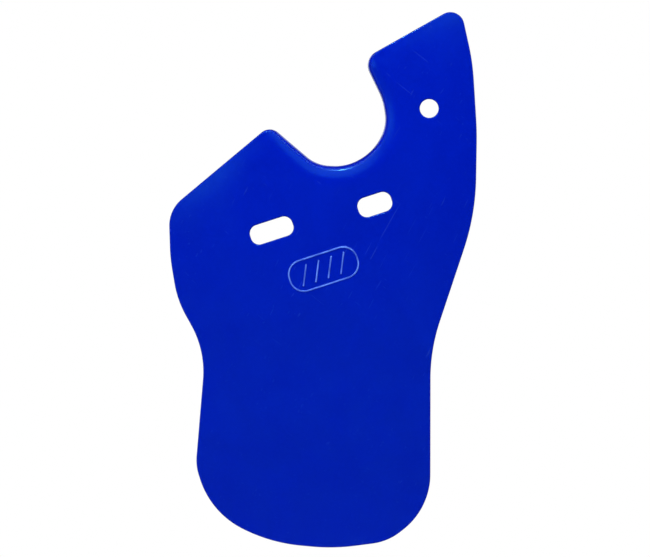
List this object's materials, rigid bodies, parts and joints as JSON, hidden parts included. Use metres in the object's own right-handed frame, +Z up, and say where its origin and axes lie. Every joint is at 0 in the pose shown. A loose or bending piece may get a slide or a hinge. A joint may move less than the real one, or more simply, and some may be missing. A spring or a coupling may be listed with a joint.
{
  "type": "batting helmet jaw guard",
  "caption": "Moulded plastic cheek and jaw guard that bolts to a batting helmet's ear flap, with an ear-opening notch, a screw hole and adjusting slots.",
  "frame": {"origin": "on the axis of the screw hole in the prong, in the middle of the wall", "axes": "+Z up the length of the guard, from the jaw lobe to the prong; -Y out of the outer face and along the axis of the screw hole, the way a screw comes out; +X across the guard to the rear edge, so the cheek side looks along +Y"},
  "size_m": [0.1092, 0.0339, 0.1904],
  "materials": {
    "blue_plastic": "smooth moulded satin gloss, coloured through"
  },
  "bodies": {
    "root": {"guard_shell": "blue_plastic"}
  },
  "joints": []
}
